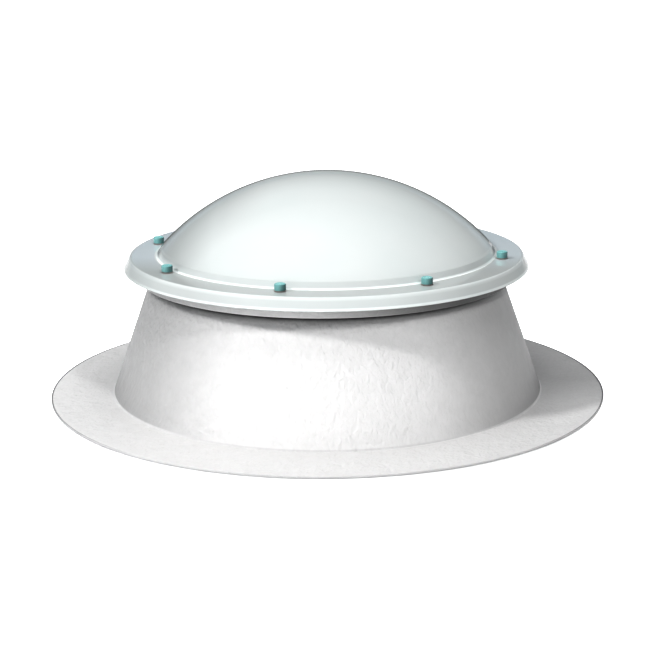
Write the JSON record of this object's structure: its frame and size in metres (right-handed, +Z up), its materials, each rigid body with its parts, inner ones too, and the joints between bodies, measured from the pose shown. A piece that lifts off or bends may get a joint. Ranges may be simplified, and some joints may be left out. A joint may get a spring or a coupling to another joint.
{
  "type": "roof skylight",
  "caption": "Round domed roof skylight: opal double-skin dome held by capped screws on a conical white kerb with a wide flat base flange.",
  "frame": {"origin": "centre of the base flange's underside, on the dome's axis", "axes": "+Z up along the dome's axis; -Y is the side that the picture shows"},
  "size_m": [1.25, 1.25, 0.4927],
  "materials": {
    "kerb_laminate": "white gelcoat over hand-laid glass fibre, satin, faint fibre mottle",
    "foam_grey": "closed-cell foam strip, dull",
    "acrylic_clear": "clear acrylic, polished",
    "acrylic_opal": "opal acrylic, polished, slight green tint",
    "sleeve_plastic": "natural nylon",
    "seal_rubber": "EPDM, dull black",
    "seat_plastic": "moulded plastic, blue-green",
    "steel": "stainless steel, bright",
    "cap_plastic": "moulded plastic, blue-green, semi-gloss"
  },
  "bodies": {
    "root": {"upstand_kerb": "kerb_laminate", "rim_gasket": "foam_grey", "inner_dome": "acrylic_clear", "skin_spacer": "foam_grey", "outer_dome": "acrylic_opal", "spacer_sleeves": "sleeve_plastic", "sealing_washers": "seal_rubber", "cap_seats": "seat_plastic", "fixing_screws": "steel", "screw_caps": "cap_plastic", "nut_washers": "steel", "lock_nuts": "steel"}
  },
  "joints": []
}
